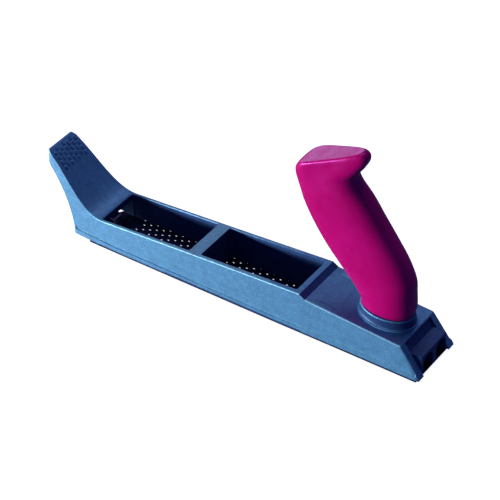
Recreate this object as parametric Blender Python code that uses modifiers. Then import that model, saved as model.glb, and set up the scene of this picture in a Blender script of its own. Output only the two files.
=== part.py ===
"""Rasp plane: a cast body with a thumb wing, a 250 mm perforated blade and a leaning pistol grip.

+X runs towards the heel, +Y to the left of a user pushing towards the toe, +Z up.
The origin is at the middle of the length, on the blade's underside. Lengths below are in
millimetres and become metres when a mesh is made.
"""

from math import cos, pi, radians, sin

import bmesh
import bpy
from mathutils import Matrix, Vector

MM = 0.001
GAP = 0.3
# How far a cutter runs past the surface that it cuts
PAST = 3.0

# Body casting
TOE_X = -122.7
HEEL_X = 144.7
SOLE_HALF_WIDTH = 21.1
SOLE_LINE = [(TOE_X, 3.2), (-92.0, 1.9), (40.0, 1.6), (90.0, 2.1), (HEEL_X, 2.0)]
WING_TOP_CURVE = [(-145.9, 58.6), (-128.4, 47.0), (-118.8, 18.9), (-98.2, 20.9)]
WING_FRONT_CURVE = [(-146.0, 50.2), (-135.0, 39.5), (-124.7, 20.9), (TOE_X, 3.2)]
WING_CURVE_STEPS = 14
STEP_TOP = (57.8, 31.6)
STEP_FOOT = (61.4, 28.1)
DECK_END = (131.3, 24.4)
WING_DRAFT = 0.137
REAR_DRAFT = 0.052
WING_TIP_RADIUS = 4.5
HEEL_CORNER_RADIUS = 4.0
EDGE_BEVEL = 0.8
WINDOW_HALF_WIDTH = 15.7
WINDOW_1 = (-101.4, -29.8)
WINDOW_2 = (-20.6, 53.6)
REAR_HOLLOW = (60.5, 127.0)
DECK_THICKNESS = 4.5
HOOK_CHAMBER = (-119.3, -100.0)
HOOK_CHAMBER_TOP = 16.0
HOOK_CHAMBER_HALF_WIDTH = 15.2

# Heel: a shallow recess over a square block, with two arched mouths in the block
HEEL_RECESS_HALF_WIDTH = 14.2
HEEL_RECESS_DEPTH = 2.4
HEEL_RECESS_INSETS = (1.2, 6.0)
HEEL_BLOCK_X = (128.0, 142.8)
HEEL_BLOCK_Z = (2.2, 16.0)
HEEL_BLOCK_HALF_WIDTH = 13.9
HEEL_ARCH = (1.8, 12.6)
HEEL_ARCH_TOP = 14.6
ARCH_STEPS = 12

# Blade
BLADE_X = (-110.0, 140.0)
BLADE_HALF_WIDTH = 20.9
BLADE_SHEET = 1.0
TONGUE_X = -117.4
TONGUE_HALF_WIDTH = 14.6
FRONT_TAB_X = -104.2
FRONT_TAB_HALF_WIDTH = 5.0
FRONT_TAB_TOP = 9.0
REAR_TAB_X = 136.8
REAR_TAB = (3.2, 12.0)
REAR_TAB_TOP = 8.0

# Blade tension screw and hook
SCREW_Z = 7.5
SCREW_SLOT = (1.2, 1.3)
SCREW_RADIUS = 2.0
SCREW_HEAD = (-124.6, -122.4)
SCREW_HEAD_RADIUS = 3.8
SCREW_WASHER_RADIUS = 4.3
SCREW_END_X = -105.2
COUNTERBORE_FLOOR_X = -121.2
COUNTERBORE_RADIUS = 4.7
HOOK_PLATE_X = (-113.5, -110.5)
HOOK_HALF_WIDTH = 3.8
HOOK_LIP_X = (-102.9, -101.1)
HOOK_BOTTOM = 3.2
HOOK_TOP = 12.6
HOOK_BRIDGE_BOTTOM = 10.4
HOOK_CHAMFER = 1.2

# Handle seat: a frame square to the deck, z = 0 on the deck's top
SEAT = (109.5, 25.56)
SEAT_TILT = 3.03
COLLAR_HALF_AXES = (18.6, 12.7)
COLLAR_HEIGHT = 6.4
COLLAR_CHAMFER = 0.8
COLLAR_ROOT = 2.0
SOCKET_RADIUS = 8.3
SOCKET_FLOOR = 0.4
BOSS_RADIUS = 11.0
BOSS_BOTTOM = -7.0
BOLT_RADIUS = 3.0
BOLT_HOLE_RADIUS = 3.4
BOLT_TOP = 24.0
BOLT_BORE_RADIUS = 3.6
BOLT_HEAD_RADIUS = 5.77
BOLT_HEAD_HEIGHT = 4.0
WASHER_HOLE_RADIUS = 3.3
FLAT_WASHER = (7.5, 1.2)
SPRING_WASHER = (5.6, 1.5)
SPRING_SPLIT = 1.0
SPIGOT_RADIUS = 8.0
SPIGOT_BOTTOM = 1.2
INSERT_RADIUS = 5.5
INSERT_SPAN = (3.0, 17.0)
INSERT_SIDES = 12
SECTION_POINTS = 28

# Grip sections above the foot: front (x, z), rear (x, z), half width, rear taper, squareness
GRIP_STATIONS = [
    ((90.6, 41.0), (129.0, 48.5), 12.0, 0.00, 0.86),
    ((86.5, 46.2), (128.7, 58.1), 12.0, 0.00, 0.86),
    ((77.0, 57.5), (124.2, 70.3), 12.0, 0.00, 0.86),
    ((67.6, 69.3), (116.6, 82.9), 12.0, 0.00, 0.86),
    ((60.1, 81.7), (108.4, 95.2), 12.0, 0.00, 0.86),
    ((52.9, 94.3), (100.4, 107.4), 12.0, 0.00, 0.86),
    ((50.9, 105.0), (92.6, 116.5), 12.0, 0.00, 0.82),
    ((49.9, 111.5), (90.2, 122.5), 12.0, 0.05, 0.76),
    ((49.6, 115.4), (94.4, 129.2), 12.2, 0.32, 0.68),
    ((50.2, 119.0), (98.0, 135.6), 12.4, 0.50, 0.62),
    ((52.2, 122.4), (98.4, 140.0), 12.4, 0.55, 0.60),
    ((53.6, 123.9), (96.4, 141.9), 12.0, 0.55, 0.60),
    ((55.3, 125.2), (94.4, 141.9), 10.8, 0.56, 0.60),
]


def clear_scene():
    for obj in list(bpy.data.objects):
        bpy.data.objects.remove(obj)


def make_collections():
    parts = bpy.data.collections.new("rasp_plane")
    cutters = bpy.data.collections.new("cutters")
    cutters.hide_render = True
    for collection in (parts, cutters):
        bpy.context.scene.collection.children.link(collection)
    return parts, cutters


def make_material(name, color, roughness, metallic):
    material = bpy.data.materials.new(name)
    material.use_nodes = True
    shader = material.node_tree.nodes["Principled BSDF"]
    shader.inputs["Base Color"].default_value = (*color, 1.0)
    shader.inputs["Roughness"].default_value = roughness
    shader.inputs["Metallic"].default_value = metallic
    return material


def to_object(name, bm, collection, material=None, parent=None):
    """Turn a bmesh in millimetres into an object in metres; one with no material is a cutter."""
    bmesh.ops.scale(bm, vec=(MM, MM, MM), verts=bm.verts)
    bmesh.ops.recalc_face_normals(bm, faces=bm.faces)
    mesh = bpy.data.meshes.new(name)
    bm.to_mesh(mesh)
    bm.free()
    obj = bpy.data.objects.new(name, mesh)
    collection.objects.link(obj)
    obj.parent = parent
    if material:
        mesh.materials.append(material)
    else:
        obj.hide_render = True
        obj.display_type = "WIRE"
    return obj


def boolean(target, other, operation):
    modifier = target.modifiers.new(other.name, "BOOLEAN")
    modifier.operation = operation
    modifier.object = other


def add_bevel(obj, width, segments=2, angle=35.0):
    modifier = obj.modifiers.new("edges", "BEVEL")
    modifier.width = width * MM
    modifier.segments = segments
    modifier.limit_method = "ANGLE"
    modifier.angle_limit = radians(angle)


def box(bm, x, y, z):
    """Add a box that spans the three (low, high) pairs."""
    size = Vector((x[1] - x[0], y[1] - y[0], z[1] - z[0]))
    middle = Vector((x[0] + x[1], y[0] + y[1], z[0] + z[1])) / 2
    matrix = Matrix.Translation(middle) @ Matrix.Diagonal((*size, 1.0))
    bmesh.ops.create_cube(bm, size=1.0, matrix=matrix)


def rod(bm, radius, low, high, axis="Z", offset=(0.0, 0.0), segments=32):
    """Add a cylinder along an axis, from low to high; offset is (y, z) for X and (x, y) for Z."""
    if axis == "X":
        middle = Vector(((low + high) / 2, offset[0], offset[1]))
        turn = Matrix.Rotation(pi / 2, 4, "Y")
    else:
        middle = Vector((offset[0], offset[1], (low + high) / 2))
        turn = Matrix.Identity(4)
    bmesh.ops.create_cone(bm, cap_ends=True, segments=segments, radius1=radius, radius2=radius,
                          depth=high - low, matrix=Matrix.Translation(middle) @ turn)


def prism_y(bm, outline, half_width):
    """Extrude an (x, z) outline across Y, out to half_width(x, z) on each side."""
    sides = []
    for side in (-1, 1):
        sides.append([bm.verts.new((x, side * half_width(x, z), z)) for x, z in outline])
    near, far = sides
    bm.faces.new(near)
    bm.faces.new(reversed(far))
    for i in range(len(outline)):
        bm.faces.new((near[i - 1], near[i], far[i], far[i - 1]))


def loft(bm, rings):
    """Skin closed rings of equal length, with a flat cap on each end."""
    rows = [[bm.verts.new(point) for point in ring] for ring in rings]
    for low, high in zip(rows, rows[1:]):
        for i in range(len(low)):
            bm.faces.new((low[i - 1], low[i], high[i], high[i - 1]))
    bm.faces.new(reversed(rows[0]))
    bm.faces.new(rows[-1])


def cubic(points, t):
    weights = ((1 - t) ** 3, 3 * t * (1 - t) ** 2, 3 * t * t * (1 - t), t ** 3)
    return tuple(sum(w * p[i] for w, p in zip(weights, points)) for i in (0, 1))


def cubic_points(points, steps):
    return [cubic(points, i / steps) for i in range(steps + 1)]


def sole_height(x):
    """Height of the body's lower edge, which the blade's flanges bear on."""
    for (x0, z0), (x1, z1) in zip(SOLE_LINE, SOLE_LINE[1:]):
        if x <= x1:
            return z0 + (z1 - z0) * (x - x0) / (x1 - x0)
    return SOLE_LINE[-1][1]


def body_half_width(x, z):
    """The sides lean in with height: strongly at the wing, slightly at the heel."""
    blend = min(max((x - WING_TOP_CURVE[3][0]) / (STEP_TOP[0] - WING_TOP_CURVE[3][0]), 0.0), 1.0)
    draft = WING_DRAFT + (REAR_DRAFT - WING_DRAFT) * blend
    return SOLE_HALF_WIDTH - draft * max(z - SOLE_LINE[0][1], 0.0)


def body_outline():
    top = cubic_points(WING_TOP_CURVE, WING_CURVE_STEPS)
    front = cubic_points(WING_FRONT_CURVE, WING_CURVE_STEPS // 2)
    sole = SOLE_LINE[1:]
    return top + [STEP_TOP, STEP_FOOT, DECK_END] + sole[::-1] + front[::-1]


def make_seat_frame():
    """Empty on the deck, turned square to it; the handle's pieces hang from it."""
    seat = bpy.data.objects.new("handle_seat", None)
    seat.location = (SEAT[0] * MM, 0.0, SEAT[1] * MM)
    seat.rotation_euler = (0.0, radians(SEAT_TILT), 0.0)
    bpy.context.scene.collection.objects.link(seat)
    return seat


def make_body_blank(parts, material):
    bm = bmesh.new()
    prism_y(bm, body_outline(), body_half_width)
    tip = WING_TOP_CURVE[0][0]
    across = [e for e in bm.edges if e.verts[0].co.y * e.verts[1].co.y > 0]
    corners = [e for e in across if all(v.co.x < tip + GAP for v in e.verts)]
    bmesh.ops.bevel(bm, geom=corners, offset=WING_TIP_RADIUS, segments=3, profile=0.5,
                    affect="EDGES", clamp_overlap=True)
    across = [e for e in bm.edges if e.verts[0].co.y * e.verts[1].co.y > 0]
    corners = [e for e in across if min(v.co.x for v in e.verts) > DECK_END[0] - GAP]
    bmesh.ops.bevel(bm, geom=corners, offset=HEEL_CORNER_RADIUS, segments=3, profile=0.5,
                    affect="EDGES", clamp_overlap=True)
    return to_object("body", bm, parts, material)


def cut_windows(body, cutters):
    for i, (low, high) in enumerate((WINDOW_1, WINDOW_2)):
        bm = bmesh.new()
        side = (-WINDOW_HALF_WIDTH, WINDOW_HALF_WIDTH)
        box(bm, (low, high), side, (-PAST, WING_TOP_CURVE[0][1]))
        boolean(body, to_object(f"cut_window_{i + 1}", bm, cutters), "DIFFERENCE")


def deck_height(x):
    (x0, z0), (x1, z1) = STEP_FOOT, DECK_END
    return z0 + (z1 - z0) * (x - x0) / (x1 - x0)


def cut_hollows(body, cutters):
    """The hollow under the deck, and the hook's chamber behind the toe."""
    bm = bmesh.new()
    low, high = REAR_HOLLOW
    roof = [(x, deck_height(x) - DECK_THICKNESS) for x in (low, high)]
    outline = [(low, -PAST), (high, -PAST), roof[1], roof[0]]
    prism_y(bm, outline, lambda x, z: WINDOW_HALF_WIDTH)
    boolean(body, to_object("cut_rear_hollow", bm, cutters), "DIFFERENCE")
    bm = bmesh.new()
    side = (-HOOK_CHAMBER_HALF_WIDTH, HOOK_CHAMBER_HALF_WIDTH)
    box(bm, HOOK_CHAMBER, side, (-PAST, HOOK_CHAMBER_TOP))
    boolean(body, to_object("cut_hook_chamber", bm, cutters), "DIFFERENCE")


def arch_outline():
    """Outline (y, z) of one mouth: straight legs from below the sole up to a half round."""
    low, high = HEEL_ARCH
    radius = (high - low) / 2
    turns = [pi * i / ARCH_STEPS for i in range(ARCH_STEPS + 1)]
    crown = [((low + high) / 2 + radius * cos(a), HEEL_ARCH_TOP - radius + radius * sin(a))
             for a in turns]
    return crown + [(low, -PAST), (high, -PAST)]


def cut_heel(body, cutters):
    """The recess is parallel to the sloping heel face; the block's mouths take the blade's tabs."""
    slope = Vector((HEEL_X - DECK_END[0], SOLE_LINE[-1][1] - DECK_END[1])).normalized()
    normal = Vector((-slope[1], slope[0]))
    top = Vector(DECK_END) + slope * HEEL_RECESS_INSETS[0]
    bottom = Vector((HEEL_X, SOLE_LINE[-1][1])) + slope * HEEL_RECESS_INSETS[1]
    outer = [bottom + normal * 2 * PAST, top + normal * 2 * PAST]
    inner = [top - normal * HEEL_RECESS_DEPTH, bottom - normal * HEEL_RECESS_DEPTH]
    bm = bmesh.new()
    prism_y(bm, [tuple(p) for p in outer + inner], lambda x, z: HEEL_RECESS_HALF_WIDTH)
    boolean(body, to_object("cut_heel_recess", bm, cutters), "DIFFERENCE")
    bm = bmesh.new()
    side = (-HEEL_BLOCK_HALF_WIDTH, HEEL_BLOCK_HALF_WIDTH)
    box(bm, HEEL_BLOCK_X, side, HEEL_BLOCK_Z)
    boolean(body, to_object("add_heel_block", bm, cutters), "UNION")
    for side in (-1, 1):
        bm = bmesh.new()
        front, rear = REAR_TAB_X - GAP, HEEL_X + PAST
        loft(bm, [[(x, side * y, z) for y, z in arch_outline()] for x in (front, rear)])
        boolean(body, to_object(f"cut_arch_{side + 1}", bm, cutters), "DIFFERENCE")


def ellipse_ring(half_x, half_y, z, count=40):
    return [(half_x * cos(2 * pi * i / count), half_y * sin(2 * pi * i / count), z)
            for i in range(count)]


def add_collar(body, cutters, seat):
    """The oval collar on the deck and the boss below it, with the socket and the bolt hole."""
    half_x, half_y = COLLAR_HALF_AXES
    bm = bmesh.new()
    loft(bm, [ellipse_ring(half_x, half_y, -COLLAR_ROOT),
              ellipse_ring(half_x, half_y, COLLAR_HEIGHT - COLLAR_CHAMFER),
              ellipse_ring(half_x - COLLAR_CHAMFER, half_y - COLLAR_CHAMFER, COLLAR_HEIGHT)])
    boolean(body, to_object("add_collar", bm, cutters, parent=seat), "UNION")
    bm = bmesh.new()
    rod(bm, BOSS_RADIUS, BOSS_BOTTOM, -COLLAR_ROOT, segments=40)
    boolean(body, to_object("add_boss", bm, cutters, parent=seat), "UNION")
    bm = bmesh.new()
    rod(bm, SOCKET_RADIUS, SOCKET_FLOOR, COLLAR_HEIGHT + PAST, segments=40)
    boolean(body, to_object("cut_socket", bm, cutters, parent=seat), "DIFFERENCE")
    bm = bmesh.new()
    rod(bm, BOLT_HOLE_RADIUS, BOSS_BOTTOM - PAST, COLLAR_HEIGHT)
    boolean(body, to_object("cut_bolt_hole", bm, cutters, parent=seat), "DIFFERENCE")


def cut_screw_hole(body, cutters):
    bm = bmesh.new()
    rod(bm, COUNTERBORE_RADIUS, TOE_X - 2 * PAST, COUNTERBORE_FLOOR_X, "X", (0.0, SCREW_Z))
    boolean(body, to_object("cut_counterbore", bm, cutters), "DIFFERENCE")
    bm = bmesh.new()
    rod(bm, SCREW_RADIUS + GAP, TOE_X - PAST, HOOK_CHAMBER[0] + PAST, "X", (0.0, SCREW_Z))
    boolean(body, to_object("cut_screw_hole", bm, cutters), "DIFFERENCE")


def make_body(parts, cutters, seat, material):
    body = make_body_blank(parts, material)
    add_bevel(body, EDGE_BEVEL)
    cut_windows(body, cutters)
    cut_hollows(body, cutters)
    cut_heel(body, cutters)
    add_collar(body, cutters, seat)
    cut_screw_hole(body, cutters)


def make_blade(parts, cutters, material):
    low, high = BLADE_X
    bm = bmesh.new()
    box(bm, (low, high), (-BLADE_HALF_WIDTH, BLADE_HALF_WIDTH), (0.0, BLADE_SHEET))
    blade = to_object("blade", bm, parts, material)
    bm = bmesh.new()
    box(bm, (TONGUE_X, low + 2.0), (-TONGUE_HALF_WIDTH, TONGUE_HALF_WIDTH), (0.2, BLADE_SHEET))
    boolean(blade, to_object("add_tongue", bm, cutters), "UNION")
    crown = [x for x, _ in SOLE_LINE if low < x < high]
    crest = [(x, sole_height(x) - GAP) for x in [low] + crown + [high]]
    outline = crest + [(high, 0.2), (low, 0.2)]
    for side in (-1, 1):
        bm = bmesh.new()
        prism_y(bm, outline, lambda x, z: BLADE_SHEET / 2)
        middle = side * (BLADE_HALF_WIDTH - BLADE_SHEET / 2)
        bmesh.ops.translate(bm, vec=(0.0, middle, 0.0), verts=bm.verts)
        boolean(blade, to_object(f"add_flange_{side + 1}", bm, cutters), "UNION")
    bm = bmesh.new()
    box(bm, (FRONT_TAB_X, FRONT_TAB_X + BLADE_SHEET),
        (-FRONT_TAB_HALF_WIDTH, FRONT_TAB_HALF_WIDTH), (0.2, FRONT_TAB_TOP))
    boolean(blade, to_object("add_front_tab", bm, cutters), "UNION")
    for side in (-1, 1):
        bm = bmesh.new()
        box(bm, (REAR_TAB_X, REAR_TAB_X + BLADE_SHEET),
            sorted((side * REAR_TAB[0], side * REAR_TAB[1])), (0.2, REAR_TAB_TOP))
        boolean(blade, to_object(f"add_rear_tab_{side + 1}", bm, cutters), "UNION")


def make_tension_hook(parts, cutters, material):
    """A strip bent over the blade's front tab, with a thick plate that the screw threads into."""
    bm = bmesh.new()
    front, back = HOOK_PLATE_X
    lip_front, lip_back = HOOK_LIP_X
    outline = [(front, HOOK_BOTTOM), (back, HOOK_BOTTOM), (back, HOOK_BRIDGE_BOTTOM),
               (lip_front, HOOK_BRIDGE_BOTTOM), (lip_front, HOOK_BOTTOM), (lip_back, HOOK_BOTTOM),
               (lip_back, HOOK_TOP - HOOK_CHAMFER), (lip_back - HOOK_CHAMFER, HOOK_TOP),
               (front, HOOK_TOP)]
    prism_y(bm, outline, lambda x, z: HOOK_HALF_WIDTH)
    hook = to_object("tension_hook", bm, parts, material)
    bm = bmesh.new()
    rod(bm, SCREW_RADIUS + GAP, front - PAST, back + PAST, "X", (0.0, SCREW_Z))
    boolean(hook, to_object("cut_hook_thread", bm, cutters), "DIFFERENCE")


def make_tension_screw(parts, cutters, materials):
    """A slotted cheese-head screw; its origin is on its axis."""
    bm = bmesh.new()
    low, high = SCREW_HEAD
    rod(bm, SCREW_HEAD_RADIUS, low, high, "X")
    screw = to_object("tension_screw", bm, parts, materials["zinc"])
    screw.location.z = SCREW_Z * MM
    bm = bmesh.new()
    rod(bm, SCREW_RADIUS, (low + high) / 2, SCREW_END_X, "X")
    boolean(screw, to_object("add_screw_shank", bm, cutters, parent=screw), "UNION")
    bm = bmesh.new()
    width, depth = SCREW_SLOT
    reach = SCREW_HEAD_RADIUS + PAST
    box(bm, (low - PAST, low + depth), (-width / 2, width / 2), (-reach, reach))
    boolean(screw, to_object("cut_screw_slot", bm, cutters, parent=screw), "DIFFERENCE")
    bm = bmesh.new()
    rod(bm, SCREW_WASHER_RADIUS, high + GAP, COUNTERBORE_FLOOR_X - GAP, "X", (0.0, SCREW_Z))
    washer = to_object("screw_washer", bm, parts, materials["zinc"])
    bm = bmesh.new()
    rod(bm, SCREW_RADIUS + GAP, high - PAST, COUNTERBORE_FLOOR_X + PAST, "X", (0.0, SCREW_Z))
    boolean(washer, to_object("cut_washer_hole", bm, cutters), "DIFFERENCE")


def ring(parts, cutters, name, radii, span, material, seat, segments=32):
    """A plain ring on the seat's axis."""
    inner, outer = radii
    bm = bmesh.new()
    rod(bm, outer, span[0], span[1], segments=segments)
    obj = to_object(name, bm, parts, material, seat)
    bm = bmesh.new()
    rod(bm, inner, span[0] - PAST, span[1] + PAST)
    boolean(obj, to_object(f"cut_{name}", bm, cutters, parent=seat), "DIFFERENCE")
    return obj


def make_bolt_set(parts, cutters, materials, seat):
    """The handle bolt with its flat washer and split spring washer, and the threaded insert."""
    flat_radius, flat_height = FLAT_WASHER
    flat_top = BOSS_BOTTOM - GAP
    flat_bottom = flat_top - flat_height
    ring(parts, cutters, "handle_flat_washer", (WASHER_HOLE_RADIUS, flat_radius),
         (flat_bottom, flat_top), materials["zinc"], seat)
    spring_radius, spring_height = SPRING_WASHER
    spring_top = flat_bottom - GAP
    spring_bottom = spring_top - spring_height
    spring = ring(parts, cutters, "handle_spring_washer", (WASHER_HOLE_RADIUS, spring_radius),
                  (spring_bottom, spring_top), materials["zinc"], seat)
    bm = bmesh.new()
    box(bm, (WASHER_HOLE_RADIUS / 2, spring_radius + PAST),
        (-SPRING_SPLIT / 2, SPRING_SPLIT / 2), (spring_bottom - PAST, spring_top + PAST))
    boolean(spring, to_object("cut_spring_split", bm, cutters, parent=seat), "DIFFERENCE")
    head_top = spring_bottom - GAP
    head_bottom = head_top - BOLT_HEAD_HEIGHT
    bm = bmesh.new()
    rod(bm, BOLT_HEAD_RADIUS, head_bottom, head_top, segments=6)
    bolt = to_object("handle_bolt", bm, parts, materials["zinc"], seat)
    bm = bmesh.new()
    rod(bm, BOLT_RADIUS, (head_bottom + head_top) / 2, BOLT_TOP)
    boolean(bolt, to_object("add_bolt_shank", bm, cutters, parent=seat), "UNION")
    ring(parts, cutters, "handle_insert", (WASHER_HOLE_RADIUS, INSERT_RADIUS), INSERT_SPAN,
         materials["brass"], seat, INSERT_SIDES)


def seat_local(x, z):
    """World (x, z) as (x, z) in the seat's frame."""
    tilt = radians(SEAT_TILT)
    dx, dz = x - SEAT[0], z - SEAT[1]
    return dx * cos(tilt) - dz * sin(tilt), dx * sin(tilt) + dz * cos(tilt)


def handle_stations():
    """Front point, rear point, half width, rear taper and squareness of each section, foot to top."""
    foot = COLLAR_HEIGHT + GAP
    stations = [((-17.6, foot), (17.6, foot), 11.8, 0.0, 0.9),
                ((-17.4, foot + 4.0), (18.9, foot + 6.0), 11.9, 0.0, 0.88)]
    for front, rear, half_width, taper, power in GRIP_STATIONS:
        stations.append((seat_local(*front), seat_local(*rear), half_width, taper, power))
    return stations


def handle_ring(front, rear, half_width, taper, power):
    """A rounded section between the front and rear points; its rear end narrows by taper."""
    points = []
    for i in range(SECTION_POINTS):
        angle = 2 * pi * i / SECTION_POINTS
        along, across = cos(angle), sin(angle)
        along = abs(along) ** power * (1 if along > 0 else -1)
        across = abs(across) ** power * (1 if across > 0 else -1)
        t = (along + 1) / 2
        narrow = 1 - taper * t
        points.append((front[0] + (rear[0] - front[0]) * t, half_width * across * narrow,
                       front[1] + (rear[1] - front[1]) * t))
    return points


def make_handle(parts, cutters, material, seat):
    bm = bmesh.new()
    loft(bm, [handle_ring(*station) for station in handle_stations()])
    grip = to_object("handle_grip", bm, parts, material, seat)
    grip.data.shade_smooth()
    bm = bmesh.new()
    rod(bm, SPIGOT_RADIUS, SPIGOT_BOTTOM, COLLAR_HEIGHT + PAST, segments=40)
    boolean(grip, to_object("add_spigot", bm, cutters, parent=seat), "UNION")
    bm = bmesh.new()
    rod(bm, INSERT_RADIUS + GAP, SPIGOT_BOTTOM - PAST, INSERT_SPAN[1] + GAP,
        segments=INSERT_SIDES)
    boolean(grip, to_object("cut_insert_bore", bm, cutters, parent=seat), "DIFFERENCE")
    bm = bmesh.new()
    rod(bm, BOLT_BORE_RADIUS, SPIGOT_BOTTOM - PAST, BOLT_TOP + PAST)
    boolean(grip, to_object("cut_bolt_bore", bm, cutters, parent=seat), "DIFFERENCE")


def main():
    clear_scene()
    parts, cutters = make_collections()
    materials = {
        "paint": make_material("steel_blue_paint", (0.08, 0.25, 0.46), 0.42, 0.25),
        "grip": make_material("crimson_grip", (0.41, 0.0, 0.06), 0.25, 0.0),
        "blade": make_material("blade_steel", (0.03, 0.04, 0.06), 0.40, 0.8),
        "zinc": make_material("zinc_steel", (0.55, 0.57, 0.6), 0.3, 1.0),
        "brass": make_material("brass", (0.7, 0.5, 0.2), 0.3, 1.0),
    }
    seat = make_seat_frame()
    bpy.context.view_layer.update()
    make_body(parts, cutters, seat, materials["paint"])
    make_blade(parts, cutters, materials["blade"])
    make_tension_hook(parts, cutters, materials["zinc"])
    make_tension_screw(parts, cutters, materials)
    make_bolt_set(parts, cutters, materials, seat)
    make_handle(parts, cutters, materials["grip"], seat)


main()
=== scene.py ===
"""Looks of the rasp plane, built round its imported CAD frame.

The body, blade, grip and fittings are remodelled here with their fillets, thumb pad, punched
teeth and threads; each rides on its CAD body and stands for its CAD node. Shapes are worked out
in millimetres, in the frame of the CAD, and become metres when a mesh is made.
"""

from math import atan2, copysign, cos, hypot, pi, radians, sin, sqrt

import bmesh
import bpy
import numpy as np
from mathutils import Matrix, Vector


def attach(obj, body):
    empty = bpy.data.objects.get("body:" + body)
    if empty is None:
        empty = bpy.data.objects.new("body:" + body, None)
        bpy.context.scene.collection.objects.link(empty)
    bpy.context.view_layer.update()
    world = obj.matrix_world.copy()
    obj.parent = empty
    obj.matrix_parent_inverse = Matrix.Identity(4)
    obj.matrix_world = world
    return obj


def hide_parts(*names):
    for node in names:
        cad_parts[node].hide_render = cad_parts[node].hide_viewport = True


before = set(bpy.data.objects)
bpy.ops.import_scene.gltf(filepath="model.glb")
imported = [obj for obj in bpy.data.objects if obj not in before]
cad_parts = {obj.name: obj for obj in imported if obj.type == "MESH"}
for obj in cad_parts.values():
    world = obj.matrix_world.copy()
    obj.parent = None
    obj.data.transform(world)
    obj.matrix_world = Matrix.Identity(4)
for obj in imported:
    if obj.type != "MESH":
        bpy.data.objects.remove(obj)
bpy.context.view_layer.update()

# Millimetre in metres, clearance between pieces, and how far a cutter runs past a face
MM = 0.001
GAP = 0.3
PAST = 3.0

# Body casting, the same main sizes as the CAD
TOE_X = -122.7
HEEL_X = 144.7
HEEL_Z = 2.0
SOLE_HALF_WIDTH = 21.1
SOLE_LINE = [(TOE_X, 3.2), (-92.0, 1.9), (40.0, 1.6), (90.0, 2.1), (HEEL_X, HEEL_Z)]
WING_TOP_CURVE = [(-145.9, 58.6), (-128.4, 47.0), (-118.8, 18.9), (-98.2, 20.9)]
WING_FRONT_CURVE = [(-146.0, 50.2), (-135.0, 39.5), (-124.7, 20.9), (TOE_X, 3.2)]
STEP_TOP = (57.8, 31.6)
STEP_FOOT = (61.4, 28.1)
DECK_END = (131.3, 24.4)
WING_DRAFT = 0.137
REAR_DRAFT = 0.052
WING_TIP_RADIUS = 4.0
HEEL_CORNER_RADIUS = 4.0
TOP_FILLET = 0.9
SOLE_FILLET = 0.5
WINDOW_HALF_WIDTH = 15.7
WINDOWS = ((-101.4, -29.8), (-20.6, 53.6))
WINDOW_CORNER = 1.3
WINDOW_FILLET = 0.7
REAR_HOLLOW = (60.5, 127.0)
DECK_THICKNESS = 4.5
HOOK_CHAMBER = (-119.3, -100.0)
HOOK_CHAMBER_TOP = 16.0
HOOK_CHAMBER_HALF_WIDTH = 15.2
LIP_HEIGHT = 3.7
LIP_DEPTH = 0.85
CHANNEL = (17.9, 19.6)
CHANNEL_DEPTH = 0.45
CHANNEL_START = (-112.0, -100.0)
CHANNEL_END = (55.0, 57.0)
WING_TIP_TOP = (-145.95, 54.4)
WING_TIP_SOLE = (-145.95, 54.2)
SOLE_CORNER_Z = 6.0

# Points that match on the top and the sole, by x, and steps of each section of the body
TOP_KNOTS = (-116.0, STEP_TOP[0], DECK_END[0])
SOLE_KNOTS = (-121.0, STEP_TOP[0], 131.0)
SIDE_STEPS = 14
FILLET_STEPS = 6
FLAT_STEPS = 44

# Faces that get a darker paint as painted shade, or a lighter paint as painted highlight
SOLE_SHADE_Z = 3.0
COLLAR_SHADE = (0.6, 3.0)
COLLAR_SHADE_Z = (0.3, 5.5)
POCKET_MARGIN = (1.5, 1.6)
STEEP = 0.3
HIGHLIGHT_Y = 17.5
HIGHLIGHT_DEPTH = 0.6

# Thumb pad: bars in staggered columns along the wing's slope
PAD_LENGTH = (4.8, 21.2)
PAD_COLUMNS = 3
PAD_COLUMN_PITCH = 3.35
PAD_ROW_PITCH = 3.9
PAD_BAR = (3.4, 2.1)
PAD_HEIGHT = 0.9
PAD_SOFT = (0.7, 0.55)
PAD_END_X = -128.0

# Blank label recess on the deck
LABEL_X = (67.6, 82.0)
LABEL_HALF_WIDTH = 14.6
LABEL_DEPTH = 0.35
LABEL_SOFT = 0.7

# Heel
HEEL_RECESS_HALF_WIDTH = 14.2
HEEL_RECESS_DEPTH = 2.4
HEEL_RECESS_INSETS = (2.0, 6.0)
HEEL_BLOCK_X = (128.0, 142.8)
HEEL_BLOCK_Z = (2.2, 16.0)
HEEL_BLOCK_HALF_WIDTH = 13.9
HEEL_ARCH = (1.8, 12.6)
HEEL_ARCH_TOP = 14.6
REAR_TAB_X = 136.8

# Handle seat and collar
SEAT = (109.5, 25.56)
SEAT_TILT = 3.03
COLLAR_HALF_AXES = (18.6, 12.7)
COLLAR_HEIGHT = 6.4
COLLAR_ROUND = 0.8
COLLAR_FOOT = 1.4
SOCKET_RADIUS = 8.3
SOCKET_FLOOR = 0.4
BOSS_RADIUS = 11.0
BOSS_BOTTOM = -7.0
BOLT_HOLE_RADIUS = 3.4
SPIGOT_RADIUS = 8.0
SPIGOT_BOTTOM = 1.2

# Toe screw hole
SCREW_Z = 7.5
SCREW_RADIUS = 2.0
COUNTERBORE_FLOOR_X = -121.2
COUNTERBORE_RADIUS = 4.7

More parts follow.
